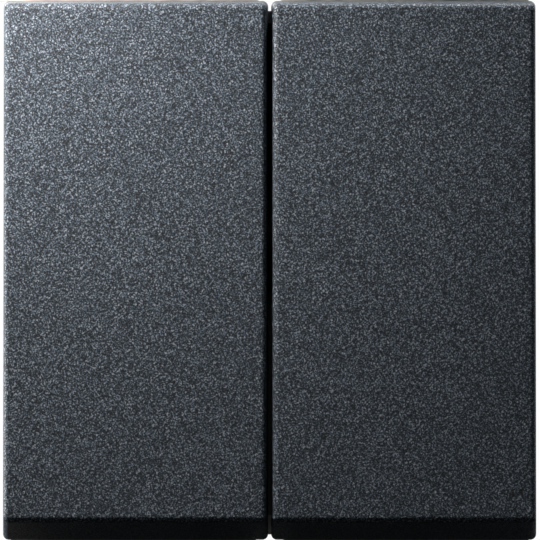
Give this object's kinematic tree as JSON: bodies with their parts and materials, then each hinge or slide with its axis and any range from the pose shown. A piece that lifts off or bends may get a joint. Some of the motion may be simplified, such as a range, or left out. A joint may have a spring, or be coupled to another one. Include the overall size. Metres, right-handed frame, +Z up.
{
  "type": "rocker wall switch",
  "caption": "Square flush-mounted wall switch with side-by-side tilting rockers on a steel support ring, a box-shaped insert behind, fixing claws and push-in terminals.",
  "frame": {"origin": "centre of the wall plane, which is the back face of the support ring, midway between the two box-screw slots", "axes": "+X right, +Z up, -Y out of the wall towards the user; the rockers' hinge axes run along X"},
  "size_m": [0.071, 0.0441, 0.071],
  "materials": {
    "cap_paint": "fine-grained anthracite paint",
    "graphite_plastic": "moulded, fine spark-eroded grain",
    "housing_plastic": "moulded, light grey",
    "carrier_plastic": "moulded acetal, natural white",
    "plunger_plastic": "smooth acetal",
    "button_plastic": "smooth, orange",
    "zinc_plated_steel": "zinc plated",
    "screw_steel": "zinc plated, yellow tint",
    "spring_steel": "drawn stainless spring wire and strip",
    "contact_brass": "rolled strip",
    "contact_silver": "silver alloy rivet"
  },
  "bodies": {
    "base": {"support_ring": "zinc_plated_steel", "front_plate": "graphite_plastic", "cover_screws": "screw_steel", "base_housing": "housing_plastic", "rear_cover": "housing_plastic", "common_bus_bar": "contact_brass", "fixed_contacts": "contact_silver", "left_output_strip": "contact_brass", "right_output_strip": "contact_brass", "left_clamp_spring": "spring_steel", "right_clamp_spring": "spring_steel", "common_clamp_spring": "spring_steel"},
    "left_rocker": {"left_rocker_cap": "cap_paint", "left_rocker_carrier": "carrier_plastic", "left_plunger_spring": "spring_steel"},
    "left_plunger_body": {"left_plunger": "plunger_plastic"},
    "left_lever": {"left_contact_lever": "contact_brass", "left_moving_contact": "contact_silver"},
    "left_claw_screw_body": {"left_claw_screw": "screw_steel"},
    "left_claw_nut_body": {"left_claw_nut": "contact_brass"},
    "left_claw_body": {"left_claw": "zinc_plated_steel"},
    "right_rocker": {"right_rocker_cap": "cap_paint", "right_rocker_carrier": "carrier_plastic", "right_plunger_spring": "spring_steel"},
    "right_plunger_body": {"right_plunger": "plunger_plastic"},
    "right_lever": {"right_contact_lever": "contact_brass", "right_moving_contact": "contact_silver"},
    "right_claw_screw_body": {"right_claw_screw": "screw_steel"},
    "right_claw_nut_body": {"right_claw_nut": "contact_brass"},
    "right_claw_body": {"right_claw": "zinc_plated_steel"},
    "left_button": {"left_release_button": "button_plastic"},
    "right_button": {"right_release_button": "button_plastic"},
    "common_button": {"common_release_button": "button_plastic"}
  },
  "joints": [
    {"name": "left_rocker_tilt", "type": "hinge", "parent": "base", "child": "left_rocker", "pos_m": [-0.0099, -0.005, 0], "axis": [1, 0, 0], "range_deg": [0, 10]},
    {"name": "left_plunger_slide", "type": "slide", "parent": "left_rocker", "child": "left_plunger_body", "axis": [0, -0.9962, 0.0872], "range_m": [0, 0.0008], "stiffness_N_per_m": 800, "springref_m": -0.001, "deforming": ["left_plunger_spring"]},
    {"name": "left_lever_rock", "type": "hinge", "parent": "base", "child": "left_lever", "pos_m": [-0.0099, 0.00844, 0], "axis": [1, 0, 0], "range_deg": [-16, 0]},
    {"name": "left_claw_screw_turn", "type": "hinge", "parent": "base", "child": "left_claw_screw_body", "pos_m": [-0.0231, 0, 0], "axis": [0, 1, 0], "range_deg": [0, 4320]},
    {"name": "left_claw_nut_slide", "type": "slide", "parent": "base", "child": "left_claw_nut_body", "axis": [0, -1, 0], "range_m": [0, 0.006]},
    {"name": "left_claw_swing", "type": "hinge", "parent": "left_claw_nut_body", "child": "left_claw_body", "pos_m": [-0.0231, 0.01, 0], "axis": [0, 0, 1], "range_deg": [0, 25]},
    {"name": "right_rocker_tilt", "type": "hinge", "parent": "base", "child": "right_rocker", "pos_m": [0.0099, -0.005, 0], "axis": [1, 0, 0], "range_deg": [0, 10]},
    {"name": "right_plunger_slide", "type": "slide", "parent": "right_rocker", "child": "right_plunger_body", "axis": [0, -0.9962, 0.0872], "range_m": [0, 0.0008], "stiffness_N_per_m": 800, "springref_m": -0.001, "deforming": ["right_plunger_spring"]},
    {"name": "right_lever_rock", "type": "hinge", "parent": "base", "child": "right_lever", "pos_m": [0.0099, 0.00844, 0], "axis": [1, 0, 0], "range_deg": [-16, 0]},
    {"name": "right_claw_screw_turn", "type": "hinge", "parent": "base", "child": "right_claw_screw_body", "pos_m": [0.0231, 0, 0], "axis": [0, 1, 0], "range_deg": [0, 4320]},
    {"name": "right_claw_nut_slide", "type": "slide", "parent": "base", "child": "right_claw_nut_body", "axis": [0, -1, 0], "range_m": [0, 0.006]},
    {"name": "right_claw_swing", "type": "hinge", "parent": "right_claw_nut_body", "child": "right_claw_body", "pos_m": [0.0231, 0.01, 0], "axis": [0, 0, -1], "range_deg": [0, 25]},
    {"name": "left_button_press", "type": "slide", "parent": "base", "child": "left_button", "axis": [0, -1, 0], "range_m": [0, 0.0016], "stiffness_N_per_m": 1500, "springref_m": -0.0006, "deforming": ["left_clamp_spring"]},
    {"name": "right_button_press", "type": "slide", "parent": "base", "child": "right_button", "axis": [0, -1, 0], "range_m": [0, 0.0016], "stiffness_N_per_m": 1500, "springref_m": -0.0006, "deforming": ["right_clamp_spring"]},
    {"name": "common_button_press", "type": "slide", "parent": "base", "child": "common_button", "axis": [0, -1, 0], "range_m": [0, 0.0016], "stiffness_N_per_m": 1500, "springref_m": -0.0006, "deforming": ["common_clamp_spring"]}
  ],
  "couplings": [
    {"joint": "left_lever_rock", "follows": "left_rocker_tilt", "ratio": -1.6},
    {"joint": "left_claw_screw_turn", "follows": "left_claw_nut_slide", "rad_per_m": 12566},
    {"joint": "left_claw_swing", "follows": "left_claw_nut_slide", "rad_per_m": 72.72},
    {"joint": "right_lever_rock", "follows": "right_rocker_tilt", "ratio": -1.6},
    {"joint": "right_claw_screw_turn", "follows": "right_claw_nut_slide", "rad_per_m": 12566},
    {"joint": "right_claw_swing", "follows": "right_claw_nut_slide", "rad_per_m": 72.72}
  ]
}
